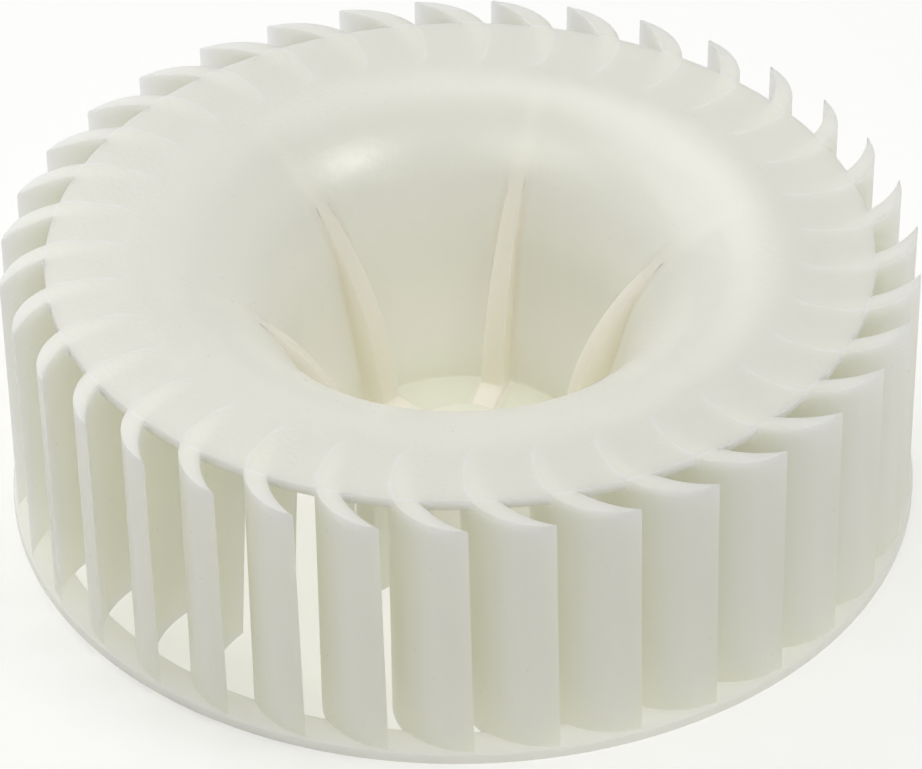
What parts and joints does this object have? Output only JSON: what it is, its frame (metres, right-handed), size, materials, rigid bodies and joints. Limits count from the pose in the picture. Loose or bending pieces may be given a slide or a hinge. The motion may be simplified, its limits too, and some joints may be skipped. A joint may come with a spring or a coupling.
{
  "type": "blower wheel",
  "caption": "Moulded plastic blower wheel of a clothes dryer: a disc with a deep ribbed funnel, curved blades round its rim and a flat foot ring.",
  "frame": {"origin": "on the axis of the wheel, in the plane of the foot ring it stands on", "axes": "+Z along the axis, from the foot ring to the disc; +X through one of the six ribs"},
  "size_m": [0.2016, 0.2016, 0.0612],
  "materials": {
    "natural_plastic": "milky, satin"
  },
  "bodies": {
    "root": {"blower_wheel": "natural_plastic"}
  },
  "joints": []
}
